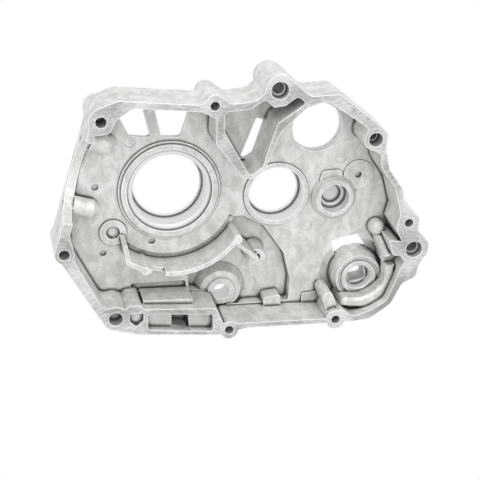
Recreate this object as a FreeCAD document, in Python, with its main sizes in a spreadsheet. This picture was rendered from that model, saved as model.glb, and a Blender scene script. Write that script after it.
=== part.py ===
# Right half of the crankcase of a small horizontal single-cylinder engine.
# One aluminium casting. Millimetres. The crankshaft axis is the Y axis, the joint
# face to the other half is the plane y = 0 and the casting lies behind it (+Y).
# X runs towards the gearbox end, -X towards the cylinder, Z is up as it stands.

import FreeCAD
import Part
import math
import os
import Sketcher

os.makedirs("parts", exist_ok=True)
document = FreeCAD.newDocument("crankcase_half")


# The driving dimensions.

SIZES = {
    # Depths measured back from the joint face.
    "web_face": 30.0,
    "web_thickness": 4.5,
    "boss_back": 40.0,
    "sump_floor": 39.0,

    # Radii at the corners of the cast outlines.
    "corner_small": 2.0,
    "corner_medium": 3.5,
    "corner_wide": 5.5,
    "corner_broad": 8.5,
    "corner_crown": 12.5,

    # The cylinder mouth: its face is square to a line through the crankshaft axis.
    "mouth_distance": 70.7,
    "mouth_tilt": 17.4,
    "mouth_bore_radius": 29.2,
    "mouth_flange": 6.0,
    "stud_offset": 23.6,
    "stud_boss_radius": 6.7,
    "stud_boss_length": 20.8,
    "stud_tip_radius": 3.2,
    "stud_tip_length": 4.6,
    "stud_hole_radius": 3.4,
    "stud_hole_depth": 18.0,

    # Where the shafts stand, each set off from another.
    "mainshaft_dx": 76.5,
    "mainshaft_dz": -8.8,
    "upper_shaft_dx": 29.2,
    "upper_shaft_dz": 47.6,
    "drum_dx": 42.1,
    "drum_dz": -5.4,
    "kick_dx": 22.0,
    "kick_dz": 22.8,
    "pump_dx": -0.5,
    "pump_dz": 17.6,

    # Where the screws, dowels and engine mounts stand in the joint face.
    "front_dowel_dx": -48.1,
    "front_dowel_dz": 61.3,
    "top_screw_dx": 27.6,
    "top_screw_dz": 67.8,
    "top_mount_dx": -4.9,
    "top_mount_dz": 84.7,
    "rear_dowel_dx": 62.9,
    "rear_dowel_dz": 45.7,
    "rear_screw_dx": 89.8,
    "rear_screw_dz": -18.1,
    "rear_mount_dx": 4.7,
    "rear_mount_dz": -20.6,
    "foot_rear_dx": 38.1,
    "foot_middle_dx": 36.5,
    "front_low_dx": -43.6,
    "front_low_dz": -81.8,
    "mouth_low_dx": -76.6,
    "mouth_low_dz": -30.5,

    # Both lower bosses stand on this level.
    "foot_level": -105.0,
    "foot_rear_radius": 7.2,
    "foot_middle_radius": 6.8,

    # The other bosses round the joint face, and the holes through all of them.
    "front_dowel_radius": 8.5,
    "top_screw_radius": 7.2,
    "top_mount_radius": 10.2,
    "rear_dowel_radius": 8.0,
    "rear_screw_radius": 6.6,
    "rear_mount_radius": 10.6,
    "front_low_radius": 8.7,
    "mouth_low_radius": 6.8,
    "screw_hole_radius": 3.2,
    "mount_hole_radius": 4.2,
    "mount_counterbore_radius": 6.1,
    "mount_counterbore_depth": 6.0,
    "dowel_radius": 5.0,
    "dowel_depth": 10.0,
    "blind_hole_radius": 3.8,
    "blind_hole_depth": 14.0,

    # Sectors about the crankshaft: radii, and angles counted from +X towards +Z.
    "crank_wall_inner": 52.0,
    "crank_wall_outer": 55.2,
    "crank_wall_crest": 6.0,
    "crank_wall_first": -128.0,
    "crank_wall_last": -36.0,
    "crank_wall_gap_first": -108.5,
    "crank_wall_gap_last": -97.5,
    "crank_wall_gap_depth": 8.0,
    "crank_wall_reach": 60.0,
    "crank_track_inner": 48.0,
    "crank_track_outer": 52.6,
    "crank_track_first": -140.0,
    "crank_track_last": -27.0,
    "crank_track_depth": 1.8,
    "crank_post_front_dx": -21.0,
    "crank_post_front_dz": -49.8,
    "crank_post_back_dx": 44.4,
    "crank_post_back_dz": -31.7,
    "post_radius": 3.0,

    # The smaller bosses, holes and pockets.
    "pump_hole_radius": 6.0,
    "peg_dx": 60.9,
    "peg_dz": -52.6,
    "peg_hole_radius": 2.6,
    "peg_hole_depth": 8.0,
    "kick_face": 20.0,
    "kick_hole_radius": 8.9,
    "kick_hole_depth": 8.0,
    "bowl_front": 28.0,
    "bowl_floor": 34.0,
    "upper_hole_radius": 18.0,
    "window_front": 22.0,
    "plug_dx": -40.4,
    "plug_dz": -28.6,
    "plug_recess_radius": 4.9,
    "plug_recess_depth": 3.0,
    "rail_depth": 9.0,
    "trough_depth": 2.4,
    "sump_box_depth": 7.0,
    "sump_well_depth": 20.0,
    "plug_pocket_depth": 4.0,
    "oil_shelf_depth": 16.0,
    "gallery_crest": 8.0,
    "gallery_chamfer": 1.8,
    "ball_dx": -20.5,
    "ball_dz": 8.8,
    "neck_turn": 165.6,
    "neck_half_width": 3.4,
    "neck_chamfer": 2.2,
    "stiffener_depth": 6.0,
    "drum_pad_height": 1.0,
    "pin_pad_dx": 60.2,
    "pin_pad_dz": 10.0,
    "pin_pad_radius": 11.0,
    "pin_pad_height": 0.8,
    "small_hole_radius": 2.6,
    "small_hole_depth": 4.0,
    "ejector_radius": 4.0,
    "ejector_depth": 0.4,
    "sump_pad_depth": 26.0,
    "sump_pad_height": 1.2,
    "peg_rib_crest": 13.0,
}

# What each boss or shaft is set off from. The feet take their height from the level
# that they stand on.
BASES = {
    "front_dowel": "crank",
    "top_screw": "crank",
    "front_low": "crank",
    "mouth_low": "crank",
    "foot_middle": "crank",
    "mainshaft": "crank",
    "peg": "crank",
    "plug": "crank",
    "crank_post_front": "crank",
    "crank_post_back": "crank",
    "top_mount": "mainshaft",
    "upper_shaft": "mainshaft",
    "drum": "mainshaft",
    "pin_pad": "mainshaft",
    "rear_dowel": "mainshaft",
    "rear_screw": "mainshaft",
    "foot_rear": "mainshaft",
    "rear_mount": "rear_screw",
    "ball": "rear_mount",
    "kick": "foot_rear",
    "pump": "foot_middle",
}

sheet = document.addObject("Spreadsheet::Sheet", "sizes")
values = {}


def size(name, number):
    """Put one dimension in the sheet and return its name."""
    row = len(values) + 1
    sheet.set(f"A{row}", name)
    sheet.set(f"B{row}", str(number))
    sheet.setAlias(f"B{row}", name)
    values[name] = number
    return name


for name, number in SIZES.items():
    size(name, number)


# Places: an expression and its present value, for x and for z.

def cell(name):
    return (f"sizes.{name}", values[name])


def mouth_point(inset, along):
    """A place set off from the middle of the cylinder mouth, along its own face."""
    tilt = math.radians(values["mouth_tilt"])
    reach = values["mouth_distance"] - inset[1]
    x = -reach * math.cos(tilt) + along[1] * math.sin(tilt)
    z = reach * math.sin(tilt) + along[1] * math.cos(tilt)
    span = f"(sizes.mouth_distance - {inset[0]})"
    turn = "(sizes.mouth_tilt)"
    x_text = f"-{span} * cos{turn} + {along[0]} * sin{turn}"
    z_text = f"{span} * sin{turn} + {along[0]} * cos{turn}"
    return (x_text, x), (z_text, z)


def centre(name):
    """The centre of a boss or shaft, which other places are set off from."""
    if name == "crank":
        return ("0", 0.0), ("0", 0.0)
    x, z = centre(BASES[name])
    dx = cell(name + "_dx")
    across = (f"{x[0]} + {dx[0]}", x[1] + dx[1])
    if name.startswith("foot"):
        level = values["foot_level"] + values[name + "_radius"]
        return across, (f"sizes.foot_level + sizes.{name}_radius", level)
    dz = cell(name + "_dz")
    return across, (f"{z[0]} + {dz[0]}", z[1] + dz[1])


def place(name, base, first, second):
    """A named place: two offsets kept in the sheet, taken from a centre."""
    if base == "mouth":
        inset = cell(size(name + "_inset", first))
        along = cell(size(name + "_along", second))
        return mouth_point(inset, along)
    x, z = centre(base)
    dx = cell(size(name + "_dx", first))
    dz = cell(size(name + "_dz", second))
    return (f"{x[0]} + {dx[0]}", x[1] + dx[1]), (f"{z[0]} + {dz[0]}", z[1] + dz[1])


def outline(prefix, rows):
    """Places and round classes of an outline, from its rows."""
    corners = []
    for word, base, first, second, rounding in rows:
        x, z = place(f"{prefix}_{word}", base, first, second)
        corners.append((x, z, rounding))
    return corners


def profile(prefix, rows):
    """Bound points of a turned profile, from rows of word, radius and depth."""
    points = []
    for word, radius, depth in rows:
        across = cell(size(f"{prefix}_{word}_radius", radius))
        down = cell(size(f"{prefix}_{word}_depth", depth))
        points.append((across, down))
    return points


# Outlines. A row is a corner: its word, the centre it is set off from, two offsets
# and the class of its round. From the mouth the offsets run inwards and up the face.

rim = outline("rim", [
    ("mouth_top", "mouth", 0.0, 37.0, "sharp"),
    ("front_crown", "front_dowel", -7.4, 7.5, "broad"),
    ("crown", "front_dowel", 12.0, 14.2, "crown"),
    ("before_top_screw", "top_screw", -9.2, 1.4, "wide"),
    ("top_screw_peak", "top_screw", -0.5, 9.8, "wide"),
    ("after_top_screw", "top_screw", 11.2, 0.9, "wide"),
    ("top_mount_foot", "top_mount", -12.6, -6.2, "crown"),
    ("top_mount_peak", "top_mount", -2.6, 17.5, "broad"),
    ("top_mount_back", "top_mount", 20.9, -5.5, "broad"),
    ("crown_back", "rear_dowel", -25.9, 34.1, "broad"),
    ("rear_dowel_peak", "rear_dowel", 8.8, 4.3, "medium"),
    ("rear_dowel_low", "rear_dowel", 7.6, -6.5, "broad"),
    ("back_high", "rear_dowel", 10.6, -21.9, "broad"),
    ("back_low", "rear_screw", -5.8, 26.4, "crown"),
    ("rear_screw_neck", "rear_screw", -3.9, 14.9, "medium"),
    ("rear_screw_peak", "rear_screw", 7.9, 3.7, "wide"),
    ("rear_screw_low", "rear_screw", 7.0, -5.7, "medium"),
    ("rear_mount_peak", "rear_mount", 12.9, 2.5, "broad"),
    ("rear_mount_low", "rear_mount", 4.2, -12.7, "wide"),
    ("tail", "rear_mount", 2.5, -22.0, "wide"),
    ("tail_low", "rear_mount", -7.5, -25.9, "wide"),
    ("bottom_back", "foot_rear", 40.9, 8.5, "crown"),
    ("bottom_rear", "foot_rear", 24.9, -1.8, "crown"),
    ("foot_rear_back", "foot_rear", 9.0, -2.6, "medium"),
    ("foot_middle_back", "foot_middle", 13.5, 0.4, "medium"),
    ("sump_back", "foot_middle", -9.0, -3.0, "medium"),
    ("sump_front", "front_low", 16.2, -13.6, "medium"),
    ("front_low_bottom", "front_low", -6.4, -7.4, "broad"),
    ("mouth_low_bottom", "mouth_low", -2.0, -7.1, "wide"),
    ("mouth_bottom", "mouth", 0.0, -53.5, "medium"),
])

chamber = outline("chamber", [
    ("mouth_top", "mouth", 6.0, 29.6, "sharp"),
    ("tab", "front_dowel", -4.6, -8.7, "sharp"),
    ("dowel_low", "front_dowel", 5.2, -8.1, "medium"),
    ("dowel_back", "front_dowel", 9.9, 1.0, "wide"),
    ("crown", "front_dowel", 21.5, 8.3, "broad"),
    ("before_top_screw", "top_screw", -8.6, -3.5, "wide"),
    ("rib_top", "top_screw", 1.2, -8.9, "medium"),
    ("rib_neck", "top_screw", 0.4, -26.4, "wide"),
    ("rib_foot_front", "mainshaft", -29.8, 24.4, "small"),
    ("rib_foot_back", "mainshaft", -22.0, 23.6, "medium"),
    ("rib_elbow", "mainshaft", -14.6, 30.4, "small"),
    ("rib_shoulder", "top_mount", 1.0, -28.7, "medium"),
    ("strip_end", "top_mount", 18.6, -13.2, "wide"),
    ("crown_back", "top_mount", 32.8, -9.3, "wide"),
    ("rear_dowel_top", "rear_dowel", -5.8, 8.9, "medium"),
    ("rear_dowel_front", "rear_dowel", -8.0, -4.0, "medium"),
    ("rear_dowel_low", "rear_dowel", 4.4, -10.6, "medium"),
    ("back_high", "rear_dowel", 4.6, -20.0, "wide"),
    ("back_low", "rear_screw", -11.6, 27.0, "broad"),
    ("rear_screw_front", "rear_screw", -6.5, 7.0, "medium"),
    ("rear_screw_low", "rear_screw", -9.4, -3.4, "small"),
    ("mount_block_corner", "rear_mount", -9.3, 7.0, "sharp"),
    ("mount_block_top", "rear_mount", -18.8, 8.1, "sharp"),
    ("mount_block_low", "rear_mount", -15.2, -3.6, "small"),
    ("oil_pocket_top", "rear_mount", -10.0, -3.9, "small"),
    ("oil_pocket_back", "rear_mount", -5.9, -8.9, "medium"),
    ("oil_pocket_low", "rear_mount", -9.7, -14.6, "medium"),
    ("gallery_back", "rear_mount", -13.2, -25.0, "wide"),
    ("bottom_back", "foot_rear", 37.4, 11.4, "broad"),
    ("bottom_turn", "foot_rear", 26.5, 5.2, "broad"),
    ("bottom_rear", "foot_rear", 12.6, 1.6, "medium"),
    ("foot_rear_back", "foot_rear", 4.4, 7.8, "small"),
    ("foot_rear_front", "foot_rear", -5.0, 5.6, "sharp"),
    ("foot_rear_end", "foot_rear", -7.4, 1.6, "sharp"),
    ("sump_back", "foot_middle", -4.0, 5.2, "small"),
    ("sump_corner", "foot_middle", -9.0, 17.9, "medium"),
    ("rail_front", "front_low", 19.6, 5.8, "small"),
    ("plug_back", "front_low", 17.2, 9.2, "small"),
    ("plug_front", "front_low", 9.8, 9.2, "small"),
    ("front_low_back", "front_low", 7.0, 6.8, "sharp"),
    ("front_low_top", "front_low", 0.8, 9.4, "medium"),
    ("front_low_corner", "front_low", -7.9, 8.0, "wide"),
    ("mouth_low_front", "mouth_low", 5.4, -3.2, "small"),
    ("mouth_low_back", "mouth_low", 6.6, 3.2, "medium"),
    ("mouth_band", "mouth", 6.6, -40.0, "medium"),
])

breather = outline("breather", [
    ("front_top", "top_screw", 6.5, -4.6, "medium"),
    ("front_shoulder", "top_screw", 24.0, -3.6, "wide"),
    ("peak", "top_mount", -9.6, -5.4, "medium"),
    ("mount_low", "top_mount", -4.2, -11.6, "medium"),
    ("mount_back", "top_mount", 3.6, -10.8, "medium"),
    ("back_top", "top_mount", 12.4, -4.8, "medium"),
    ("back", "top_mount", 18.4, -9.7, "small"),
    ("elbow", "top_mount", -1.4, -22.6, "medium"),
    ("low_back", "mainshaft", -16.6, 31.8, "medium"),
    ("low", "mainshaft", -25.4, 25.8, "small"),
    ("front_low", "top_screw", 6.2, -18.0, "wide"),
])

# Openings through the web: two lightening windows above the crankshaft, the
# slot in the breather pocket and the window over the kick shaft.
front_window = outline("front_window", [
    ("front_top", "front_dowel", 11.8, 0.2, "small"),
    ("back_top", "crank", -17.2, 62.0, "small"),
    ("back_low", "crank", -12.5, 39.9, "sharp"),
    ("low", "crank", -15.8, 39.2, "sharp"),
    ("front_low", "crank", -26.4, 40.8, "small"),
])
middle_window = outline("middle_window", [
    ("front_top", "crank", -9.4, 62.0, "small"),
    ("back_top", "crank", 16.2, 60.0, "small"),
    ("back_low", "crank", 8.6, 38.2, "small"),
    ("front_low", "crank", -4.4, 38.6, "small"),
])
breather_slot = outline("breather_slot", [
    ("front_top", "mainshaft", -14.6, 57.1, "sharp"),
    ("back_top", "mainshaft", -8.6, 55.6, "sharp"),
    ("back_low", "mainshaft", -16.8, 31.6, "sharp"),
    ("low", "mainshaft", -22.0, 28.2, "sharp"),
    ("front_low", "mainshaft", -26.3, 29.2, "sharp"),
])
kick_window = outline("kick_window", [
    ("front_top", "kick", -18.2, 25.7, "sharp"),
    ("middle_top", "kick", -8.2, 29.1, "small"),
    ("back_top", "kick", 1.8, 29.6, "small"),
    ("back_low", "kick", 9.4, 17.2, "sharp"),
    ("arc_back", "kick", 3.6, 19.4, "broad"),
    ("arc_front", "kick", -7.6, 18.2, "broad"),
    ("front_low", "kick", -14.6, 13.2, "sharp"),
])

# The bowl round the kick shaft, and the square core behind its seat.
bowl = outline("bowl", [
    ("front_high", "kick", -19.5, 26.0, "medium"),
    ("back_high", "kick", 2.6, 30.5, "medium"),
    ("back", "kick", 12.0, 26.0, "wide"),
    ("back_side", "kick", 20.0, 12.0, "wide"),
    ("back_low", "kick", 17.5, -3.5, "broad"),
    ("low", "kick", 2.0, -15.5, "broad"),
    ("bottom", "kick", -11.0, -19.0, "broad"),
    ("front_low", "kick", -21.5, -15.6, "broad"),
    ("front", "kick", -29.0, -1.5, "broad"),
])
square_hole = outline("square_hole", [
    ("front_high", "kick", -7.6, 5.0, "small"),
    ("back_high", "kick", 5.0, 7.6, "small"),
    ("back_low", "kick", 7.6, -5.0, "small"),
    ("front_low", "kick", -5.0, -7.6, "small"),
])

# The sump: its floor is set back behind the web, so it has a shell of its own.
sump = outline("sump", [
    ("crank_end", "crank", 46.5, -23.6, "small"),
    ("top", "crank", 53.0, -23.4, "medium"),
    ("shoulder", "crank", 67.5, -32.2, "wide"),
    ("side_high", "crank", 83.2, -56.0, "broad"),
    ("side", "crank", 87.6, -76.0, "medium"),
    ("bottom_back", "foot_rear", -28.3, 4.3, "small"),
    ("bottom_front", "foot_middle", -4.0, 6.2, "small"),
    ("box_corner", "foot_middle", -10.0, 18.6, "small"),
    ("front_low", "crank", 12.5, -78.0, "small"),
    ("front_high", "crank", 12.0, -52.6, "small"),
    ("under_crank", "crank", 28.0, -46.0, "small"),
    ("before_end", "crank", 41.0, -34.6, "small"),
])
sump_shell = outline("sump_shell", [
    ("top", "crank", 46.0, -14.5, "wide"),
    ("shoulder", "crank", 71.0, -28.0, "wide"),
    ("side_high", "crank", 89.5, -54.0, "broad"),
    ("side", "crank", 94.0, -76.0, "wide"),
    ("bottom_back", "foot_rear", -22.0, -0.5, "medium"),
    ("bottom_front", "foot_middle", -8.0, 0.5, "medium"),
    ("front_low", "crank", 7.0, -84.0, "medium"),
    ("front_high", "crank", 6.5, -45.0, "wide"),
])
trough = outline("trough", [
    ("front_top", "front_low", 11.4, 12.4, "small"),
    ("back_top", "crank", 10.5, -70.3, "small"),
    ("back_low", "crank", 10.5, -76.4, "sharp"),
    ("front_low", "front_low", 17.0, 6.4, "sharp"),
])
rail = outline("rail", [
    ("front_top", "front_low", 20.5, 8.0, "sharp"),
    ("back_top", "crank", 12.0, -75.6, "sharp"),
    ("back_low", "crank", 12.0, -81.0, "sharp"),
    ("front_low", "front_low", 20.5, 2.0, "sharp"),
])

# The box in the lower joint face, its deep part, and the small pocket in front.
sump_box = outline("sump_box", [
    ("front_top", "front_low", 22.6, 1.7, "small"),
    ("back_top", "foot_middle", -11.4, 13.4, "small"),
    ("back_low", "foot_middle", -11.8, 0.4, "small"),
    ("front_low", "front_low", 22.1, -10.6, "small"),
])
sump_well = outline("sump_well", [
    ("front_top", "front_low", 39.9, -0.1, "sharp"),
    ("back_top", "foot_middle", -28.2, 15.2, "sharp"),
    ("back_low", "foot_middle", -27.8, 1.9, "sharp"),
    ("front_low", "front_low", 39.7, -12.2, "sharp"),
])
plug_pocket = outline("plug_pocket", [
    ("front_top", "front_low", 9.8, 2.6, "sharp"),
    ("back_top", "front_low", 19.4, 2.6, "sharp"),
    ("back_low", "front_low", 19.2, -3.4, "small"),
    ("low", "front_low", 14.0, -7.4, "small"),
    ("front_low", "front_low", 9.6, -3.0, "small"),
])

# Round the rear engine mount: the shelf under the oil pocket, and the oil gallery,
# a ledge with a round crest along the foot of the outer wall.
oil_shelf = outline("oil_shelf", [
    ("front_top", "rear_mount", -18.6, -4.6, "small"),
    ("back_top", "rear_mount", -2.0, 0.0, "sharp"),
    ("back_low", "rear_mount", -4.0, -16.0, "sharp"),
    ("low", "rear_mount", -11.0, -20.0, "sharp"),
    ("front_low", "rear_mount", -18.8, -14.4, "medium"),
])
gallery = outline("gallery", [
    ("top", "rear_mount", -17.8, -15.0, "small"),
    ("side", "rear_mount", -18.0, -28.6, "broad"),
    ("turn", "rear_mount", -26.6, -35.6, "broad"),
    ("low", "foot_rear", 21.0, 11.2, "broad"),
    ("end", "foot_rear", 7.6, 12.6, "medium"),
    ("end_foot", "foot_rear", 5.0, 6.0, "sharp"),
    ("outside_low", "foot_rear", 26.0, 2.6, "wide"),
    ("outside_turn", "foot_rear", 40.0, 10.4, "broad"),
    ("outside", "rear_mount", -10.6, -24.0, "wide"),
    ("outside_top", "rear_mount", -10.8, -15.0, "sharp"),
])
crank_wall_end = outline("crank_wall_end", [
    ("high", "crank", -35.9, -30.2, "sharp"),
    ("high_inside", "crank", -33.1, -29.8, "sharp"),
    ("low_inside", "crank", -31.0, -41.2, "sharp"),
    ("low", "crank", -33.8, -44.0, "sharp"),
    ("side", "crank", -34.6, -41.4, "small"),
])
peg_rib = outline("peg_rib", [
    ("high_back", "crank", 45.8, -37.0, "sharp"),
    ("low_back", "crank", 60.6, -50.0, "sharp"),
    ("low_front", "crank", 59.2, -52.0, "sharp"),
    ("high_front", "crank", 44.0, -38.8, "sharp"),
])
sump_pad = outline("sump_pad", [
    ("front_high", "foot_middle", 30.4, 10.4, "small"),
    ("back_high", "foot_middle", 43.2, 11.6, "small"),
    ("back_low", "foot_middle", 43.4, 0.6, "sharp"),
    ("front_low", "foot_middle", 30.6, 0.6, "sharp"),
])
foot_pad = outline("foot_pad", [
    ("front_high", "foot_rear", -18.4, 9.6, "small"),
    ("back_high", "foot_rear", -6.4, 10.2, "small"),
    ("back_low", "foot_rear", -6.2, 0.2, "small"),
    ("front_low", "foot_rear", -18.4, 1.4, "small"),
])
stiffener = outline("stiffener", [
    ("top_front", "foot_rear", -9.6, 17.4, "medium"),
    ("top_back", "foot_rear", -2.0, 20.2, "medium"),
    ("low_back", "foot_rear", 3.6, 4.0, "sharp"),
    ("low_front", "foot_rear", -4.6, 2.4, "sharp"),
])
drum_pad = outline("drum_pad", [
    ("front_low", "drum", -11.0, 12.0, "small"),
    ("front_top", "drum", -8.6, 20.2, "medium"),
    ("back_top", "drum", 5.4, 20.6, "medium"),
    ("back_low", "drum", 6.8, 12.6, "small"),
])

# The face for the clutch cover on the far side, a raised rim of its own.
cover_rim = outline("cover_rim", [
    ("mouth_high", "mouth", 9.0, 22.0, "broad"),
    ("front_crown", "front_dowel", -2.6, 4.0, "broad"),
    ("crown", "front_dowel", 13.5, 9.6, "broad"),
    ("top_screw", "top_screw", -4.0, -2.4, "wide"),
    ("top_mount", "top_mount", -4.0, -9.0, "wide"),
    ("crown_back", "rear_dowel", -25.5, 28.6, "broad"),
    ("rear_dowel", "rear_dowel", 3.5, 1.0, "wide"),
    ("back_high", "rear_dowel", 5.6, -22.0, "broad"),
    ("back_low", "rear_screw", -9.5, 24.0, "broad"),
    ("rear_screw", "rear_screw", -6.0, -4.0, "broad"),
    ("rear_mount", "rear_mount", -7.0, -17.0, "broad"),
    ("bottom_back", "foot_rear", 34.0, 9.5, "crown"),
    ("bottom_rear", "foot_rear", 18.0, 1.8, "broad"),
    ("foot_middle", "foot_middle", 2.0, 3.4, "broad"),
    ("sump_front", "front_low", 15.0, -7.6, "broad"),
    ("front_low", "front_low", -3.6, -1.6, "wide"),
    ("mouth_low", "mouth_low", 6.2, 0.0, "wide"),
])
cover_inside = outline("cover_inside", [
    ("mouth_high", "mouth", 15.0, 21.0, "wide"),
    ("front_crown", "front_dowel", 3.6, -0.8, "wide"),
    ("crown", "front_dowel", 15.4, 3.8, "wide"),
    ("top_screw", "top_screw", -4.0, -8.4, "medium"),
    ("top_mount", "top_mount", -4.0, -15.4, "medium"),
    ("crown_back", "rear_dowel", -27.5, 22.6, "wide"),
    ("rear_dowel", "rear_dowel", -2.9, -1.4, "wide"),
    ("back_high", "rear_dowel", -0.6, -23.6, "wide"),
    ("back_low", "rear_screw", -15.8, 22.0, "wide"),
    ("rear_screw", "rear_screw", -12.4, -5.0, "wide"),
    ("rear_mount", "rear_mount", -12.8, -14.8, "wide"),
    ("bottom_back", "foot_rear", 30.0, 14.5, "crown"),
    ("bottom_rear", "foot_rear", 17.0, 8.0, "wide"),
    ("foot_middle", "foot_middle", 2.6, 9.6, "wide"),
    ("sump_front", "front_low", 15.4, -1.4, "wide"),
    ("front_low", "front_low", 0.6, 3.0, "medium"),
    ("mouth_low", "mouth_low", 11.8, 2.6, "medium"),
])

small_holes = outline("small_hole", [
    ("mouth", "crank", -51.5, 5.6, "sharp"),
    ("front", "crank", -47.8, -44.0, "sharp"),
    ("low", "crank", -13.1, -37.7, "sharp"),
    ("pin", "pin_pad", 0.0, 0.0, "sharp"),
])
ejectors = outline("ejector", [
    ("front", "crank", -26.5, 36.5, "sharp"),
    ("gearbox", "mainshaft", 47.0, 23.4, "sharp"),
    ("under_drum", "drum", -19.2, -21.1, "sharp"),
])

# Turned profiles, each beside its own shaft axis: radius, then depth.
crank_ring = profile("crank_ring", [
    ("foot", 36.0, 32.0),
    ("ledge", 36.0, 28.6),
    ("ledge_in", 34.0, 28.6),
    ("face_out", 34.0, 27.0),
    ("face_in", 30.0, 27.0),
    ("step", 30.0, 28.8),
    ("inside_front", 20.0, 28.8),
    ("inside_back", 20.0, 46.0),
    ("back", 33.0, 46.0),
    ("back_foot", 33.0, 32.0),
])
crank_bore = profile("crank_bore", [
    ("axis_front", 0.0, 20.0),
    ("front", 27.0, 20.0),
    ("chamfer_out", 27.0, 28.8),
    ("chamfer_in", 26.0, 29.8),
    ("seat", 26.0, 43.8),
    ("lip", 24.0, 43.8),
    ("back", 24.0, 50.0),
    ("axis_back", 0.0, 50.0),
])
mainshaft_ring = profile("mainshaft_ring", [
    ("front_out", 23.4, 28.8),
    ("front_in", 16.0, 28.8),
    ("inside_back", 16.0, 44.0),
    ("back", 23.4, 44.0),
])
mainshaft_bore = profile("mainshaft_bore", [
    ("axis_front", 0.0, 20.0),
    ("front", 20.0, 20.0),
    ("seat", 20.0, 42.0),
    ("lip", 18.0, 42.0),
    ("back", 18.0, 50.0),
    ("axis_back", 0.0, 50.0),
])
upper_ring = profile("upper_ring", [
    ("front_in", 12.0, 31.0),
    ("front_out", 21.0, 31.0),
    ("back_out", 21.0, 39.0),
    ("back_in", 12.0, 39.0),
])
drum_boss = profile("drum_boss", [
    ("axis_front", 0.0, 25.0),
    ("face_out", 13.6, 25.0),
    ("foot", 17.2, 31.0),
    ("back_foot", 14.5, 31.0),
    ("back", 14.5, 42.0),
    ("axis_back", 0.0, 42.0),
])
drum_hole = profile("drum_hole", [
    ("axis_front", 0.0, 20.0),
    ("front", 10.6, 20.0),
    ("shoulder", 10.6, 35.5),
    ("step", 7.4, 35.5),
    ("floor", 7.4, 39.0),
    ("axis_back", 0.0, 39.0),
])
pump_boss = profile("pump_boss", [
    ("axis_front", 0.0, 27.5),
    ("face_out", 9.8, 27.5),
    ("groove", 10.6, 30.0),
    ("dome", 14.8, 31.0),
    ("foot", 18.6, 39.0),
    ("back_foot", 14.0, 39.0),
    ("back", 14.0, 44.5),
    ("axis_back", 0.0, 44.5),
])
peg_boss = profile("peg_boss", [
    ("axis_front", 0.0, 21.0),
    ("face_out", 5.8, 21.0),
    ("foot", 7.6, 40.0),
    ("axis_back", 0.0, 40.0),
])
kick_shell = profile("kick_shell", [
    ("axis_front", 0.0, 33.0),
    ("edge_front", 25.5, 33.0),
    ("edge_back", 25.5, 38.5),
    ("axis_back", 0.0, 38.5),
])
kick_boss = profile("kick_boss", [
    ("axis_front", 0.0, 21.0),
    ("chamfer", 8.9, 21.0),
    ("face_in", 9.7, 20.0),
    ("face_out", 12.8, 20.0),
    ("groove_in", 12.8, 21.0),
    ("groove_out", 15.4, 21.0),
    ("ridge_in", 15.4, 20.3),
    ("ridge_out", 17.0, 20.3),
    ("slope", 19.2, 25.0),
    ("foot", 19.2, 36.0),
    ("back_foot", 14.5, 36.0),
    ("back", 14.5, 44.0),
    ("axis_back", 0.0, 44.0),
])
ball_top = profile("ball_top", [
    ("axis_front", 0.0, 19.5),
    ("crown", 2.9, 19.5),
    ("shoulder", 5.3, 22.4),
    ("side", 5.9, 25.6),
    ("foot", 5.9, 31.0),
    ("axis_back", 0.0, 31.0),
])
plug_boss = profile("plug_boss", [
    ("axis_front", 0.0, 28.4),
    ("ring", 9.4, 28.4),
    ("foot", 9.4, 31.0),
    ("axis_back", 0.0, 31.0),
])

# The side view of the ball's neck: how far it runs from the ball, and its depth.
neck = profile("neck", [
    ("ball", 0.0, 24.4),
    ("end", 16.5, 7.6),
    ("end_foot", 16.5, 31.0),
    ("ball_foot", 0.0, 31.0),
])


# Forms and cores. Forms are cast material and cores are left out of it, so the
# part is made as a foundry makes it. Depth is counted from the joint face, along +Y.

def new_form(name):
    form = document.addObject("PartDesign::Body", name)
    form.Label = name
    return form


def plane_sketch(form, name, role):
    """A sketch on one of the form's own origin planes."""
    sketch = form.newObject("Sketcher::SketchObject", name)
    plane = next(item for item in form.Origin.OriginFeatures if item.Role == role)
    sketch.AttachmentSupport = [(plane, "")]
    sketch.MapMode = "FlatFace"
    return sketch


def polygon(sketch, points):
    """A closed outline of straight sides through bound points."""
    count = len(points)
    vectors = [FreeCAD.Vector(x[1], z[1], 0) for x, z in points]
    ends = vectors[1:] + vectors[:1]
    sides = sketch.addGeometry([Part.LineSegment(a, b) for a, b in zip(vectors, ends)], False)
    joins = [Sketcher.Constraint("Coincident", sides[i], 2, sides[(i + 1) % count], 1)
             for i in range(count)]
    sketch.addConstraint(joins)
    bound = []
    texts = []
    for side, (x, z) in zip(sides, points):
        bound.append(Sketcher.Constraint("DistanceX", -1, 1, side, 1, x[1]))
        bound.append(Sketcher.Constraint("DistanceY", -1, 1, side, 1, z[1]))
        texts += [x[0], z[0]]
    numbers = sketch.addConstraint(bound)
    for number, text in zip(numbers, texts):
        sketch.setExpression(f"Constraints[{number}]", text)


def pad(form, name, sketch, length):
    feature = form.newObject("PartDesign::Pad", name)
    feature.Profile = sketch
    feature.Reversed = True
    feature.setExpression("Length", length)
    form.Tip = feature


def upright_edges(shape, x, z):
    """The edges that run square to the joint face through one corner."""
    found = []
    for number, edge in enumerate(shape.Edges, 1):
        a = edge.Vertexes[0].Point
        b = edge.Vertexes[-1].Point
        near = all(abs(p.x - x) < 0.01 and abs(p.z - z) < 0.01 for p in (a, b))
        if near and abs(a.y - b.y) > 0.1:
            found.append(f"Edge{number}")
    return found


def front_edges(shape):
    """The edges round the face that is nearest to the joint face."""
    depth = min(vertex.Point.y for vertex in shape.Vertexes)
    found = []
    for number, edge in enumerate(shape.Edges, 1):
        if all(vertex.Point.y < depth + 0.01 for vertex in edge.Vertexes):
            found.append(f"Edge{number}")
    return found


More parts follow.
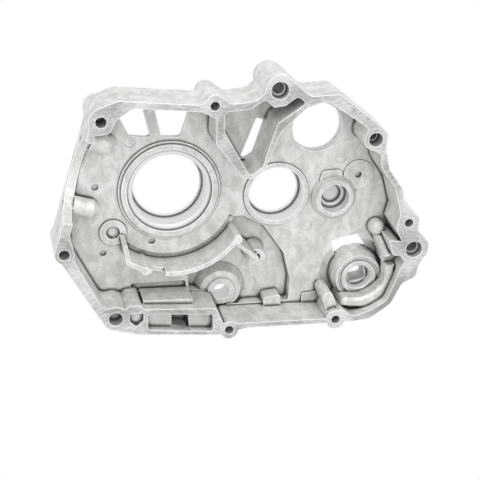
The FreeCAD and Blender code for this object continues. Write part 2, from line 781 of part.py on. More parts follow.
def round_off(form, name, edges, amount, kind="Fillet"):
    """Round or chamfer some edges of the form as it stands."""
    base = form.Tip
    feature = form.newObject(f"PartDesign::{kind}", name)
    feature.Base = (base, edges)
    feature.setExpression("Radius" if kind == "Fillet" else "Size", amount)
    form.Tip = feature


def block(name, corners, depth, length, crest=None):
    """A form or core with a flat outline: its corners are rounded class by class."""
    form = new_form(name)
    sketch = plane_sketch(form, name + "_outline", "XZ_Plane")
    sketch.setExpression(".AttachmentOffset.Base.z", f"-({depth})")
    polygon(sketch, [(x, z) for x, z, rounding in corners])
    pad(form, name + "_pad", sketch, length)
    for rounding in ("small", "medium", "wide", "broad", "crown"):
        chosen = [(x[1], z[1]) for x, z, word in corners if word == rounding]
        if not chosen:
            continue
        document.recompute()
        edges = []
        for x, z in chosen:
            edges += upright_edges(form.Tip.Shape, x, z)
        round_off(form, f"{name}_{rounding}_corners", edges, f"sizes.corner_{rounding}")
    if crest:
        document.recompute()
        round_off(form, name + "_crest", front_edges(form.Tip.Shape), crest, "Chamfer")
    return form


def turned(name, where, points):
    """A form or core turned about a shaft axis, from a half profile of radius and depth."""
    form = new_form(name)
    x, z = where
    sketch = plane_sketch(form, name + "_profile", "XY_Plane")
    sketch.setExpression(".AttachmentOffset.Base.x", x[0])
    sketch.setExpression(".AttachmentOffset.Base.z", z[0])
    polygon(sketch, points)
    feature = form.newObject("PartDesign::Revolution", name + "_turned")
    feature.Profile = sketch
    feature.ReferenceAxis = (sketch, ["V_Axis"])
    feature.Angle = 360
    form.Tip = feature
    return form


def ridge(name, where, turn, half_width, points, crest):
    """A wall that runs from a centre at an angle, drawn from its side and rounded on top."""
    form = new_form(name)
    x, z = where
    sketch = plane_sketch(form, name + "_side", "YZ_Plane")
    turned_up = FreeCAD.Rotation(FreeCAD.Vector(1, 0, 0), values[turn])
    sketch.AttachmentOffset = FreeCAD.Placement(FreeCAD.Vector(0, z[1], x[1]), turned_up)
    sketch.setExpression(".AttachmentOffset.Base.y", z[0])
    sketch.setExpression(".AttachmentOffset.Base.z", x[0])
    sketch.setExpression(".AttachmentOffset.Rotation.Angle", f"sizes.{turn}")
    polygon(sketch, [(depth, reach) for reach, depth in points])
    feature = form.newObject("PartDesign::Pad", name + "_pad")
    feature.Profile = sketch
    feature.Midplane = True
    feature.setExpression("Length", f"2 * sizes.{half_width}")
    form.Tip = feature
    document.recompute()
    slope = points[0][1][1] - points[1][1][1]
    edges = []
    for number, edge in enumerate(feature.Shape.Edges, 1):
        drop = abs(edge.Vertexes[0].Point.y - edge.Vertexes[-1].Point.y)
        if abs(drop - slope) < 0.01:
            edges.append(f"Edge{number}")
    round_off(form, name + "_crest", edges, f"sizes.{crest}", "Chamfer")
    return form


def sector(name, inner, outer, first, last, depth, length):
    """A curved wall about the crankshaft, between two radii and two angles."""
    form = new_form(name)
    sketch = plane_sketch(form, name + "_outline", "XZ_Plane")
    sketch.setExpression(".AttachmentOffset.Base.z", f"-({depth})")
    middle = FreeCAD.Vector(0, 0, 0)
    up = FreeCAD.Vector(0, 0, 1)
    start = math.radians(values[first])
    stop = math.radians(values[last])

    def tip(radius, angle):
        reach = values[radius]
        return FreeCAD.Vector(reach * math.cos(angle), reach * math.sin(angle), 0)

    outside = Part.Circle(middle, up, values[outer])
    inside = Part.Circle(middle, up, values[inner])
    far = sketch.addGeometry(Part.ArcOfCircle(outside, start, stop))
    near = sketch.addGeometry(Part.ArcOfCircle(inside, start, stop))
    head = sketch.addGeometry(Part.LineSegment(tip(inner, start), tip(outer, start)))
    tail = sketch.addGeometry(Part.LineSegment(tip(inner, stop), tip(outer, stop)))
    sketch.addConstraint([
        Sketcher.Constraint("Coincident", far, 3, -1, 1),
        Sketcher.Constraint("Coincident", near, 3, -1, 1),
        Sketcher.Constraint("Coincident", head, 1, near, 1),
        Sketcher.Constraint("Coincident", head, 2, far, 1),
        Sketcher.Constraint("Coincident", tail, 1, near, 2),
        Sketcher.Constraint("Coincident", tail, 2, far, 2),
        Sketcher.Constraint("PointOnObject", -1, 1, head),
        Sketcher.Constraint("PointOnObject", -1, 1, tail),
    ])
    numbers = sketch.addConstraint([
        Sketcher.Constraint("Radius", far, values[outer]),
        Sketcher.Constraint("Radius", near, values[inner]),
        Sketcher.Constraint("Angle", head, start),
        Sketcher.Constraint("Angle", tail, stop),
    ])
    texts = [f"sizes.{outer}", f"sizes.{inner}", f"sizes.{first} * 1 deg",
             f"sizes.{last} * 1 deg"]
    for number, text in zip(numbers, texts):
        sketch.setExpression(f"Constraints[{number}]", text)
    pad(form, name + "_pad", sketch, length)
    return form


def place_at(item, where, depth):
    x, z = where
    item.setExpression("Placement.Base.x", x[0])
    item.setExpression("Placement.Base.y", depth)
    item.setExpression("Placement.Base.z", z[0])


def drill(name, where, radius, depth, length):
    """A round boss or hole square to the joint face."""
    item = document.addObject("Part::Cylinder", name)
    item.Label = name
    square = FreeCAD.Rotation(FreeCAD.Vector(1, 0, 0), -90)
    item.Placement = FreeCAD.Placement(FreeCAD.Vector(), square)
    place_at(item, where, depth)
    item.setExpression("Radius", radius)
    item.setExpression("Height", length)
    return item


def drill_mouth(name, inset, along, depth, radius, length, tip=None):
    """A round boss or hole along the cylinder, from a place on its mouth."""
    item = document.addObject("Part::Cone" if tip else "Part::Cylinder", name)
    item.Label = name
    inwards = FreeCAD.Rotation(FreeCAD.Vector(0, 1, 0), 90 + values["mouth_tilt"])
    item.Placement = FreeCAD.Placement(FreeCAD.Vector(), inwards)
    item.setExpression("Placement.Rotation.Angle", "90 + sizes.mouth_tilt")
    place_at(item, mouth_point(inset, along), depth)
    item.setExpression("Radius1" if tip else "Radius", radius)
    if tip:
        item.setExpression("Radius2", tip)
    item.setExpression("Height", length)
    return item


def fuse(name, items):
    joined = document.addObject("Part::MultiFuse", name)
    joined.Label = name
    joined.Shapes = items
    joined.Refine = True
    return joined


def cut(name, base, tools):
    result = document.addObject("Part::Cut", name)
    result.Label = name
    result.Base = base
    result.Tool = fuse(name + "_cores", tools) if len(tools) > 1 else tools[0]
    result.Refine = True
    return result


web_back = "sizes.web_face + sizes.web_thickness"
cover_step = f"sizes.boss_back - ({web_back})"
to_web = "sizes.web_face"
zero = ("0", 0.0)


def spots(items):
    """Centres from an outline's rows, without their rounds."""
    return [(x, z) for x, z, rounding in items]


# The outer wall and the web, with the raised face for the cover on the far side
# and the sump's own shell behind the web.
outside = fuse("outside", [
    block("rim", rim, "0", web_back),
    block("cover_rim", cover_rim, web_back, cover_step),
])
hollowed = cut("hollowed", outside, [
    block("chamber", chamber, "0", to_web),
    block("breather", breather, "0", to_web),
    block("cover_inside", cover_inside, web_back, cover_step),
])
with_sump = fuse("with_sump", [
    hollowed,
    block("sump_shell", sump_shell, to_web,
          "sizes.sump_floor + sizes.web_thickness - sizes.web_face"),
])
open_sump = cut("open_sump", with_sump, [
    block("sump", sump, to_web, "sizes.sump_floor - sizes.web_face"),
    sector("crank_track", "crank_track_inner", "crank_track_outer", "crank_track_first",
           "crank_track_last", to_web, "sizes.crank_track_depth"),
    block("trough", trough, to_web, "sizes.trough_depth"),
])

# Cast forms on the web: the curved wall under the crankshaft, the bosses round the
# joint face, the shaft seats and the small details.
crank_wall = cut("crank_wall", sector(
    "crank_wall_arc", "crank_wall_inner", "crank_wall_outer", "crank_wall_first",
    "crank_wall_last", "sizes.crank_wall_crest", "sizes.sump_floor - sizes.crank_wall_crest"),
    [sector("crank_wall_gap", "crank_track_inner", "crank_wall_reach", "crank_wall_gap_first",
            "crank_wall_gap_last", "0", "sizes.crank_wall_crest + sizes.crank_wall_gap_depth")])
forms = [open_sump, crank_wall]
for name in ("front_dowel", "top_screw", "top_mount", "rear_dowel", "rear_screw",
             "rear_mount", "foot_rear", "foot_middle", "front_low", "mouth_low"):
    forms.append(drill(name + "_boss", centre(name), f"sizes.{name}_radius", "0",
                       "sizes.boss_back"))
forms += [
    turned("crank_ring", centre("crank"), crank_ring),
    turned("mainshaft_ring", centre("mainshaft"), mainshaft_ring),
    turned("upper_ring", centre("upper_shaft"), upper_ring),
    turned("kick_shell", centre("kick"), kick_shell),
    turned("drum_boss", centre("drum"), drum_boss),
    turned("pump_boss", centre("pump"), pump_boss),
    turned("peg_boss", centre("peg"), peg_boss),
    turned("plug_boss", centre("plug"), plug_boss),
    block("rail", rail, "sizes.rail_depth", "sizes.web_face - sizes.rail_depth"),
    block("stiffener", stiffener, "sizes.stiffener_depth",
          "sizes.web_face - sizes.stiffener_depth"),
    block("drum_pad", drum_pad, "sizes.web_face - sizes.drum_pad_height",
          "sizes.drum_pad_height + 1"),
    block("foot_pad", foot_pad, "sizes.web_face - sizes.sump_pad_height",
          "sizes.sump_pad_height + 1"),
    block("sump_pad", sump_pad, "sizes.sump_pad_depth",
          "sizes.sump_floor - sizes.sump_pad_depth + 1"),
    block("peg_rib", peg_rib, "sizes.peg_rib_crest",
          "sizes.sump_floor - sizes.peg_rib_crest + 1"),
    block("crank_wall_end", crank_wall_end, "sizes.crank_wall_crest",
          "sizes.web_face - sizes.crank_wall_crest + 1"),
    block("oil_shelf", oil_shelf, "sizes.oil_shelf_depth",
          "sizes.bowl_floor - sizes.oil_shelf_depth"),
    drill("pin_pad", centre("pin_pad"), "sizes.pin_pad_radius",
          "sizes.web_face - sizes.pin_pad_height", "sizes.pin_pad_height + 1"),
]
for name in ("crank_post_front", "crank_post_back"):
    forms.append(drill(name, centre(name), "sizes.post_radius", "sizes.crank_wall_crest",
                       "sizes.web_face - sizes.crank_wall_crest + 1"))
for side, sign in (("stud_upper", ""), ("stud_lower", "-")):
    along = (f"{sign}sizes.stud_offset", -values["stud_offset"] if sign else values["stud_offset"])
    forms.append(drill_mouth(side + "_boss", zero, along, "sizes.stud_offset",
                             "sizes.stud_boss_radius", "sizes.stud_boss_length"))
    forms.append(drill_mouth(side + "_tip", cell("stud_boss_length"), along,
                             "sizes.stud_offset", "sizes.stud_boss_radius",
                             "sizes.stud_tip_length", "sizes.stud_tip_radius"))
solid_casting = fuse("solid_casting", forms)

# The bowl round the kick shaft is hollow before its boss stands in it.
dished = cut("dished", solid_casting, [
    block("bowl", bowl, "sizes.bowl_front", "sizes.bowl_floor - sizes.bowl_front"),
])
raised = fuse("raised", [
    dished,
    turned("kick_boss", centre("kick"), kick_boss),
    turned("ball_top", centre("ball"), ball_top),
    ridge("neck", centre("ball"), "neck_turn", "neck_half_width", neck, "neck_chamfer"),
    block("gallery", gallery, "sizes.gallery_crest",
          "sizes.bowl_floor - sizes.gallery_crest + 1", "sizes.gallery_chamfer"),
])

# What is left out or machined away: shaft seats, openings through the web, pockets
# in the joint face, the cylinder mouth and the screw holes.
past = "sizes.boss_back + 10"
cores = [
    turned("crank_bore", centre("crank"), crank_bore),
    turned("mainshaft_bore", centre("mainshaft"), mainshaft_bore),
    turned("drum_hole", centre("drum"), drum_hole),
    block("sump_box", sump_box, "0", "sizes.sump_box_depth"),
    block("sump_well", sump_well, "0", "sizes.sump_well_depth"),
    block("plug_pocket", plug_pocket, "0", "sizes.plug_pocket_depth"),
    block("square_hole", square_hole, "sizes.kick_face + sizes.kick_hole_depth - 1", past),
]
for name, corners in (("front_window", front_window), ("middle_window", middle_window),
                      ("breather_slot", breather_slot), ("kick_window", kick_window)):
    cores.append(block(name, corners, "sizes.window_front", past))
cores.append(drill_mouth("mouth_bore", zero, zero, "0", "sizes.mouth_bore_radius",
                         "sizes.mouth_flange + 1"))
for side, sign in (("stud_upper", ""), ("stud_lower", "-")):
    along = (f"{sign}sizes.stud_offset", -values["stud_offset"] if sign else values["stud_offset"])
    cores.append(drill_mouth(side + "_hole", zero, along, "sizes.stud_offset",
                             "sizes.stud_hole_radius", "sizes.stud_hole_depth"))
for name, radius in (("top_screw", "screw"), ("rear_dowel", "screw"), ("rear_screw", "screw"),
                     ("foot_rear", "screw"), ("foot_middle", "screw"),
                     ("top_mount", "mount"), ("rear_mount", "mount")):
    cores.append(drill(name + "_hole", centre(name), f"sizes.{radius}_hole_radius", "0", past))
for name in ("top_mount", "rear_mount"):
    cores.append(drill(name + "_counterbore", centre(name), "sizes.mount_counterbore_radius",
                       "0", "sizes.mount_counterbore_depth"))
for name in ("rear_dowel", "front_low"):
    cores.append(drill(name + "_seat", centre(name), "sizes.dowel_radius", "0",
                       "sizes.dowel_depth"))
cores += [
    drill("front_dowel_hole", centre("front_dowel"), "sizes.blind_hole_radius", "0",
          "sizes.blind_hole_depth"),
    drill("mouth_low_hole", centre("mouth_low"), "sizes.blind_hole_radius", "0", past),
    drill("upper_hole", centre("upper_shaft"), "sizes.upper_hole_radius", to_web, past),
    drill("pump_hole", centre("pump"), "sizes.pump_hole_radius", "0", past),
    drill("kick_hole", centre("kick"), "sizes.kick_hole_radius", "sizes.kick_face - 2",
          "2 + sizes.kick_hole_depth"),
    drill("peg_hole", centre("peg"), "sizes.peg_hole_radius", "20", "sizes.peg_hole_depth"),
    drill("plug_recess", centre("plug"), "sizes.plug_recess_radius", "28",
          "sizes.plug_recess_depth"),
]
for number, where in enumerate(spots(small_holes), 1):
    cores.append(drill(f"small_hole_{number}", where, "sizes.small_hole_radius",
                       "sizes.web_face - 2", "2 + sizes.small_hole_depth"))
for number, where in enumerate(spots(ejectors), 1):
    cores.append(drill(f"ejector_{number}", where, "sizes.ejector_radius",
                       "sizes.web_face - 1", "1 + sizes.ejector_depth"))
crankcase = cut("crankcase", raised, cores)

# Checks, then the file.
document.recompute()
for item in document.Objects:
    bad = [word for word in item.State if word in ("Invalid", "Error")]
    if bad:
        raise RuntimeError(f"{item.Label} failed: {bad}")
shape = crankcase.Shape
if shape.isNull() or not shape.isValid() or len(shape.Solids) != 1:
    raise RuntimeError(f"the casting is not one valid solid: {len(shape.Solids)} solids")
shape.Solids[0].exportStep("parts/crankcase.step")
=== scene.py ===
import math

import bmesh
import bpy
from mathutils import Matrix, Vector

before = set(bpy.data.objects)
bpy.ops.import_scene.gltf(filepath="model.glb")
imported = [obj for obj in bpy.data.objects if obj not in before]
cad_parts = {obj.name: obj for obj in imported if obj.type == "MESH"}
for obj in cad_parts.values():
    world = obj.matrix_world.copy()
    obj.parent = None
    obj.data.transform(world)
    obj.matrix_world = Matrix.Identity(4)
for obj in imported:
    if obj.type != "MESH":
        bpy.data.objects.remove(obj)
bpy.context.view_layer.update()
scene = bpy.context.scene


# The crankcase half: one aluminium casting, poured under pressure in a steel die. Its
# skin is a satin grey, a little uneven where the metal flowed, darkened by painted shade
# in its corners and hollows, lit by painted highlights along its edges, and bright where
# it is machined.
SKIN_GREY = (0.63, 0.63, 0.61, 1.0)
SKIN_PALE = (0.84, 0.84, 0.825, 1.0)
# The dark laid on as painted shade in creases and hollows, and on the skin's fine pits.
PAINTED_SHADE_AND_PITS = (0.070, 0.068, 0.058, 1.0)
# The near-white laid on as a painted highlight along the casting's outward edges.
PAINTED_EDGE_HIGHLIGHT = (0.98, 0.98, 0.97, 1.0)
MILLED_SILVER = (0.72, 0.72, 0.71, 1.0)
MILLED_DULL = (0.33, 0.33, 0.315, 1.0)
TURNED_SILVER = (0.80, 0.80, 0.795, 1.0)

# Marks on the skin: the readings at which each one begins and is at its full, and then
# how much of its colour it lays on there. Hollows and creases are painted shade and
# edges a painted highlight; the grain is the skin's own fine pits.
GRAIN = (0.42, 0.62, 0.16)
PAINTED_HOLLOW_SHADE = (0.38, 0.95, 0.36)
PAINTED_CREASE_SHADE = (0.12, 0.46, 0.96)
EDGE_HIGHLIGHT_MARK = (0.10, 0.38, 0.95)

# Reaches and rounds in metres, and how many times further off a hollow is looked for
# than a crease.
CREASE_REACH = 0.0034
HOLLOW_TO_CREASE = 6.0
EDGE_REACH = 0.0009
EDGE_ROUND = 0.0006
JOINT_FACE_DEPTH = 0.0002
CORNER_SAMPLES = 8
ROUND_SAMPLES = 4

# Relief: how deep it is in metres and how strongly it shows, how high the tool's rings
# stand against the pits, and how fast their wave runs, in radians to the metre.
RELIEF_DEPTH = 0.0003
RELIEF_STRENGTH = 0.35
RING_HEIGHT = 0.18
RING_PHASE = 9000.0

# Noises: their scale, how fine they are, and how they are turned (in radians) and
# stretched. Streaks and the cutter's sweeps take a share of the clouds they lie in.
SKIN_CLOUDS = 90.0
SKIN_PITS = 1100.0
JOINT_CLOUDS = 30.0
CLOUD_NOISE = {"Detail": 5.0, "Roughness": 0.62, "Distortion": 1.2}
STREAK_NOISE = {"Detail": 4.0}
PIT_NOISE = {"Detail": 6.0, "Roughness": 0.7}
SWEEP_NOISE = {"Scale": 1.0, "Detail": 3.0}
BROAD_NOISE = {"Detail": 3.0}
STREAK_TURN = (0.0, 0.5, 0.0)
STREAK_STRETCH = (2.0, 1.0, 0.8)
STREAK_SHARE = 0.45
CLOUD_SPREAD = (0.36, 0.64)
SWEEP_TURN = (0.0, 0.9, 0.0)
SWEEP_STRETCH = (260.0, 260.0, 700.0)
SWEEP_SHARE = 0.35
SWEEP_SPREAD = (0.35, 0.65)

# The finish: cast skin is the roughest, and pale clouds and machined metal are smoother.
CAST_ROUGHNESS = 0.60
CLOUD_ROUGHNESS = -0.10
MILLED_ROUGHNESS = -0.12
METAL_SHARE = 0.45

# Folds sharper than this many degrees stay sharp to the eye, and flats shade flat.
SHARP_FOLD = 50.0
FLAT_WEIGHT = 100

# Bores turned on the lathe: where the shaft stands (x, z), then how far out from it the
# metal is bright and the depth that it ends at.
TURNED_FACES = {
    "main_bearing": (0.0, 0.0, 0.0305, 0.0460),
    "mainshaft_bearing": (0.0765, -0.0088, 0.0205, 0.0460),
    "drum_seat": (0.1186, -0.0142, 0.0110, 0.0420),
    "kick_seat": (0.1366, -0.0750, 0.0093, 0.0300),
    "pump_seat": (0.0360, -0.0806, 0.0064, 0.0460),
}


def add_node(tree, kind, values=None, **settings):
    """A shader node with its settings, and with these values on its input sockets."""
    node = tree.nodes.new(kind)
    for key, setting in settings.items():
        setattr(node, key, setting)
    for socket, value in (values or {}).items():
        node.inputs[socket].default_value = value
    return node


def new_group(name, inputs, outputs):
    """An empty shader group with float sockets, and its two end nodes."""
    group = bpy.data.node_groups.new(name, "ShaderNodeTree")
    for word in inputs:
        group.interface.new_socket(word, in_out="INPUT", socket_type="NodeSocketFloat")
    for word in outputs:
        group.interface.new_socket(word, in_out="OUTPUT", socket_type="NodeSocketFloat")
    return group, add_node(group, "NodeGroupInput"), add_node(group, "NodeGroupOutput")


def maths(tree, operation, first, second=None, third=None):
    """The result of a Math node fed by sockets or plain numbers."""
    node = add_node(tree, "ShaderNodeMath", operation=operation)
    for place, given in enumerate((first, second, third)):
        if given is None:
            continue
        if isinstance(given, (int, float)):
            node.inputs[place].default_value = given
        else:
            tree.links.new(given, node.inputs[place])
    return node.outputs["Value"]


def ramp(tree, value, low, high):
    """0 below the low value, 1 above the high one, smooth in between."""
    node = add_node(tree, "ShaderNodeMapRange", {"From Min": low, "From Max": high},
                    interpolation_type="SMOOTHSTEP")
    tree.links.new(value, node.inputs["Value"])
    return node.outputs["Result"]


def noise(tree, place, values, scale=None):
    """A noise over a place; its scale is one of the values or comes from a socket."""
    node = add_node(tree, "ShaderNodeTexNoise", values)
    tree.links.new(place, node.inputs["Vector"])
    if scale is not None:
        tree.links.new(scale, node.inputs["Scale"])
    return node.outputs["Fac"]


def squeezed(tree, place, turn, stretch):
    """The place turned and stretched, so that a noise over it runs in streaks."""
    node = add_node(tree, "ShaderNodeMapping", {"Rotation": turn, "Scale": stretch})
    tree.links.new(place, node.inputs["Vector"])
    return node.outputs["Vector"]


def mixed(tree, over, share, under):
    """Two values added up, the first with its share and the second with the rest."""
    rest = maths(tree, "MULTIPLY", under, 1.0 - share)
    return maths(tree, "MULTIPLY_ADD", over, share, rest)


def cast_skin_group():
    """Die-cast skin: broad pale clouds, flow streaks and fine pits."""
    group, outer, result = new_group("cast_skin", ["Cloud Scale", "Pit Scale"],
                                     ["Clouds", "Pits"])
    place = add_node(group, "ShaderNodeTexCoord").outputs["Object"]
    scale = outer.outputs["Cloud Scale"]
    flow = squeezed(group, place, STREAK_TURN, STREAK_STRETCH)
    cloud = noise(group, place, CLOUD_NOISE, scale)
    streak = noise(group, flow, STREAK_NOISE, scale)
    pit = noise(group, place, PIT_NOISE, outer.outputs["Pit Scale"])
    both = mixed(group, streak, STREAK_SHARE, cloud)
    group.links.new(ramp(group, both, *CLOUD_SPREAD), result.inputs["Clouds"])
    group.links.new(pit, result.inputs["Pits"])
    return group


def corner_marks_group():
    """Painted shade where two walls meet inwards, near and further off, and painted
    highlight on outward edges.
    """
    group, outer, result = new_group("corner_marks", ["Crease Reach", "Edge Reach"],
                                     ["Creases", "Hollows", "Edges"])
    near = outer.outputs["Crease Reach"]
    far = maths(group, "MULTIPLY", near, HOLLOW_TO_CREASE)
    thin = outer.outputs["Edge Reach"]
    for mark, reach, inside in (("Creases", near, False), ("Hollows", far, False),
                                ("Edges", thin, True)):
        shade = add_node(group, "ShaderNodeAmbientOcclusion", samples=CORNER_SAMPLES,
                         inside=inside, only_local=True)
        group.links.new(reach, shade.inputs["Distance"])
        group.links.new(maths(group, "SUBTRACT", 1.0, shade.outputs["AO"]),
                        result.inputs[mark])
    return group


def joint_face_group():
    """White on the milled joint face, with the cutter's faint sweeps across it."""
    group, outer, result = new_group("joint_face", ["Depth", "Cloud Scale"],
                                     ["Mask", "Sweeps"])
    place = add_node(group, "ShaderNodeTexCoord").outputs["Object"]
    axes = add_node(group, "ShaderNodeSeparateXYZ")
    group.links.new(place, axes.inputs["Vector"])
    near = maths(group, "LESS_THAN", axes.outputs["Y"], outer.outputs["Depth"])
    across = squeezed(group, place, SWEEP_TURN, SWEEP_STRETCH)
    sweep = noise(group, across, SWEEP_NOISE)
    broad = noise(group, place, BROAD_NOISE, outer.outputs["Cloud Scale"])
    both = mixed(group, sweep, SWEEP_SHARE, broad)
    group.links.new(near, result.inputs["Mask"])
    group.links.new(ramp(group, both, *SWEEP_SPREAD), result.inputs["Sweeps"])
    return group


def turned_face_group():
    """White in one lathe-turned bore about a shaft, with the tool's fine rings."""
    group, outer, result = new_group("turned_face",
                                     ["Shaft X", "Shaft Z", "Radius", "Depth"],
                                     ["Mask", "Rings"])
    place = add_node(group, "ShaderNodeTexCoord").outputs["Object"]
    axes = add_node(group, "ShaderNodeSeparateXYZ")
    group.links.new(place, axes.inputs["Vector"])
    across = maths(group, "SUBTRACT", axes.outputs["X"], outer.outputs["Shaft X"])
    up = maths(group, "SUBTRACT", axes.outputs["Z"], outer.outputs["Shaft Z"])
    across = maths(group, "MULTIPLY", across, across)
    radius = maths(group, "SQRT", maths(group, "MULTIPLY_ADD", up, up, across))
    inside = maths(group, "LESS_THAN", radius, outer.outputs["Radius"])
    front = maths(group, "LESS_THAN", axes.outputs["Y"], outer.outputs["Depth"])
    mask = maths(group, "MULTIPLY", inside, front)
    steps = maths(group, "MULTIPLY_ADD", axes.outputs["Y"], RING_PHASE,
                  maths(group, "MULTIPLY", radius, RING_PHASE))
    rings = maths(group, "MULTIPLY_ADD", maths(group, "SINE", steps), 0.5, 0.5)
    group.links.new(mask, result.inputs["Mask"])
    group.links.new(maths(group, "MULTIPLY", rings, mask), result.inputs["Rings"])
    return group


def place_group(tree, group, **given):
    """One use of a shader group, with its own values on the group's inputs."""
    values = {word.replace("_", " ").title(): number for word, number in given.items()}
    return add_node(tree, "ShaderNodeGroup", values, node_tree=group)


def turned_faces(tree):
    """The rings and the masks of all the turned bores, each put together."""
    group = turned_face_group()
    rings = lathed = None
    for name, (x, z, radius, depth) in TURNED_FACES.items():
        turned = place_group(tree, group, shaft_x=x, shaft_z=z, radius=radius,
                             depth=depth)
        turned.label = name
        if rings is None:
            rings, lathed = turned.outputs["Rings"], turned.outputs["Mask"]
        else:
            rings = maths(tree, "MAXIMUM", rings, turned.outputs["Rings"])
            lathed = maths(tree, "MAXIMUM", lathed, turned.outputs["Mask"])
    return rings, lathed


def blend(tree, factor, under, over):
    """The over colour where the factor is 1; either may be a socket or a colour."""
    node = add_node(tree, "ShaderNodeMix", data_type="RGBA")
    colours = [place for place in node.inputs if place.type == "RGBA"]
    tree.links.new(factor, node.inputs["Factor"])
    for place, given in zip(colours, (under, over)):
        if isinstance(given, tuple):
            place.default_value = given
        else:
            tree.links.new(given, place)
    return next(place for place in node.outputs if place.type == "RGBA")


def marked(tree, colour, reading, mark, paint):
    """The colour with a mark's paint over it, as far as the reading calls for."""
    low, high, share = mark
    strength = maths(tree, "MULTIPLY", ramp(tree, reading, low, high), share)
    return blend(tree, strength, colour, paint)


def casting_material():
    """Cast and machined aluminium, told apart by where they lie on the casting."""
    material = bpy.data.materials.new("cast_aluminium")
    material.use_nodes = True
    tree = material.node_tree
    shader = tree.nodes["Principled BSDF"]
    skin = place_group(tree, cast_skin_group(), cloud_scale=SKIN_CLOUDS,
                       pit_scale=SKIN_PITS)
    marks = place_group(tree, corner_marks_group(), crease_reach=CREASE_REACH,
                        edge_reach=EDGE_REACH)
    joint = place_group(tree, joint_face_group(), depth=JOINT_FACE_DEPTH,
                        cloud_scale=JOINT_CLOUDS)
    rings, lathed = turned_faces(tree)
    milled = maths(tree, "MAXIMUM", joint.outputs["Mask"], lathed)

    colour = blend(tree, skin.outputs["Clouds"], SKIN_GREY, SKIN_PALE)
    colour = marked(tree, colour, skin.outputs["Pits"], GRAIN, PAINTED_SHADE_AND_PITS)
    worked = blend(tree, joint.outputs["Sweeps"], MILLED_DULL, MILLED_SILVER)
    colour = blend(tree, joint.outputs["Mask"], colour, worked)
    # Painted shade in the hollows, reaching further from the corners.
    colour = marked(tree, colour, marks.outputs["Hollows"], PAINTED_HOLLOW_SHADE, PAINTED_SHADE_AND_PITS)
    colour = blend(tree, lathed, colour, TURNED_SILVER)
    # Painted shade along the creases where walls meet inwards.
    colour = marked(tree, colour, marks.outputs["Creases"], PAINTED_CREASE_SHADE, PAINTED_SHADE_AND_PITS)
    # Painted highlight along the outward edges and crests.
    colour = marked(tree, colour, marks.outputs["Edges"], EDGE_HIGHLIGHT_MARK, PAINTED_EDGE_HIGHLIGHT)
    tree.links.new(colour, shader.inputs["Base Color"])

    rough = maths(tree, "MULTIPLY_ADD", skin.outputs["Clouds"], CLOUD_ROUGHNESS,
                  CAST_ROUGHNESS)
    rough = maths(tree, "MULTIPLY_ADD", milled, MILLED_ROUGHNESS, rough)
    tree.links.new(rough, shader.inputs["Roughness"])
    shader.inputs["Metallic"].default_value = METAL_SHARE

    cast = maths(tree, "SUBTRACT", 1.0, milled)
    pits = maths(tree, "MULTIPLY", skin.outputs["Pits"], cast)
    height = maths(tree, "MULTIPLY_ADD", rings, RING_HEIGHT, pits)
    rounded = add_node(tree, "ShaderNodeBevel", {"Radius": EDGE_ROUND},
                       samples=ROUND_SAMPLES)
    bump = add_node(tree, "ShaderNodeBump",
                    {"Strength": RELIEF_STRENGTH, "Distance": RELIEF_DEPTH})
    tree.links.new(height, bump.inputs["Height"])
    tree.links.new(rounded.outputs["Normal"], bump.inputs["Normal"])
    tree.links.new(bump.outputs["Normal"], shader.inputs["Normal"])
    return material


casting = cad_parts["crankcase"]
aluminium = casting_material()
for slot in casting.material_slots:
    slot.material = aluminium
folds = casting.modifiers.new("sharp_folds", "EDGE_SPLIT")
folds.split_angle = math.radians(SHARP_FOLD)
flats = casting.modifiers.new("true_flats", "WEIGHTED_NORMAL")
flats.mode = "FACE_AREA"
flats.weight = FLAT_WEIGHT


# The studio: a wide white floor, one broad soft lamp over the camera and a white
# surround.
FLOOR_LEVEL = -0.105
FLOOR_HALF_WIDTH = 3.0
FLOOR_NEAR_EDGE = -2.0
FLOOR_FAR_EDGE = 1.6
BACKDROP_WHITE = (1.0, 1.0, 1.0, 1.0)
MATT_WHITE = (0.9, 0.9, 0.9, 1.0)
SURROUND_LIGHT = 0.90
LAMP_PLACE = (0.10, -0.90, 1.10)
LAMP_AIM = (0.05, 0.0, -0.02)
LAMP_SIZE = 1.8
LAMP_POWER = 14.0


def studio_white():
    """White to the camera and to gloss, a plain matt white for everything else."""
    material = bpy.data.materials.new("studio_white")
    material.use_nodes = True
    tree = material.node_tree
    tree.nodes.clear()
    output = add_node(tree, "ShaderNodeOutputMaterial")
    ray = add_node(tree, "ShaderNodeLightPath")
    matt = add_node(tree, "ShaderNodeBsdfDiffuse", {"Color": MATT_WHITE})
    glow = add_node(tree, "ShaderNodeEmission", {"Color": BACKDROP_WHITE})
    either = maths(tree, "MAXIMUM", ray.outputs["Is Camera Ray"],
                   ray.outputs["Is Glossy Ray"])
    shown = add_node(tree, "ShaderNodeMixShader")
    tree.links.new(either, shown.inputs["Fac"])
    tree.links.new(matt.outputs["BSDF"], shown.inputs[1])
    tree.links.new(glow.outputs["Emission"], shown.inputs[2])
    tree.links.new(shown.outputs["Shader"], output.inputs["Surface"])
    return material


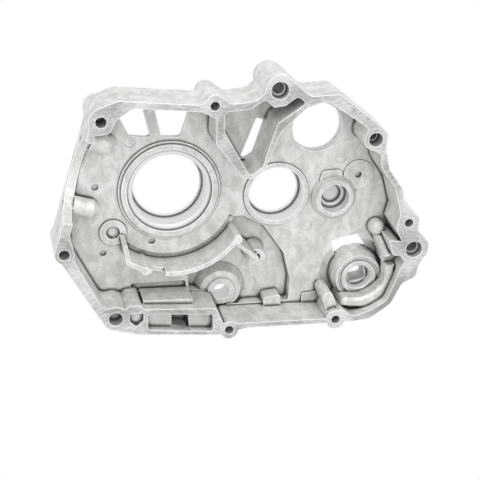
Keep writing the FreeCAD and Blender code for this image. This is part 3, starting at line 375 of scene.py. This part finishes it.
def studio_floor():
    mesh = bpy.data.meshes.new("studio_floor")
    build = bmesh.new()
    corners = [(-FLOOR_HALF_WIDTH, FLOOR_NEAR_EDGE), (FLOOR_HALF_WIDTH, FLOOR_NEAR_EDGE),
               (FLOOR_HALF_WIDTH, FLOOR_FAR_EDGE), (-FLOOR_HALF_WIDTH, FLOOR_FAR_EDGE)]
    build.faces.new([build.verts.new((x, y, FLOOR_LEVEL)) for x, y in corners])
    build.to_mesh(mesh)
    build.free()
    floor = bpy.data.objects.new("studio_floor", mesh)
    mesh.materials.append(studio_white())
    scene.collection.objects.link(floor)
    return floor


def studio_surround():
    """A world that is white to the camera and lights the casting from all round."""
    world = bpy.data.worlds.new("studio_surround")
    world.use_nodes = True
    tree = world.node_tree
    sky = tree.nodes["Background"]
    sky.inputs["Color"].default_value = BACKDROP_WHITE
    ray = add_node(tree, "ShaderNodeLightPath")
    strength = maths(tree, "MAXIMUM", ray.outputs["Is Camera Ray"], SURROUND_LIGHT)
    tree.links.new(strength, sky.inputs["Strength"])
    return world


def set_up(name, data, place, aim):
    """A lamp or a camera that stands at one point and looks at another."""
    thing = bpy.data.objects.new(name, data)
    thing.location = place
    direction = Vector(aim) - Vector(place)
    thing.rotation_euler = direction.to_track_quat("-Z", "Y").to_euler()
    scene.collection.objects.link(thing)
    return thing


studio_floor()
scene.world = studio_surround()

softbox = bpy.data.lights.new("front_softbox", "AREA")
softbox.shape = "SQUARE"
softbox.size = LAMP_SIZE
softbox.energy = LAMP_POWER
set_up("front_softbox", softbox, LAMP_PLACE, LAMP_AIM)


# The camera looks a little down on the joint face from the cylinder's side, at the
# photograph's angle.
CAMERA_PLACE = (-0.12446, -0.82178, 0.32847)
CAMERA_AIM = (0.04509, 0.00417, -0.03117)
FIELD_OF_VIEW = 20.6
NEAREST_SEEN = 0.01

camera_data = bpy.data.cameras.new("camera")
camera_data.lens_unit = "FOV"
camera_data.angle = math.radians(FIELD_OF_VIEW)
camera_data.clip_start = NEAREST_SEEN
scene.camera = set_up("camera", camera_data, CAMERA_PLACE, CAMERA_AIM)
scene.view_settings.view_transform = "Standard"
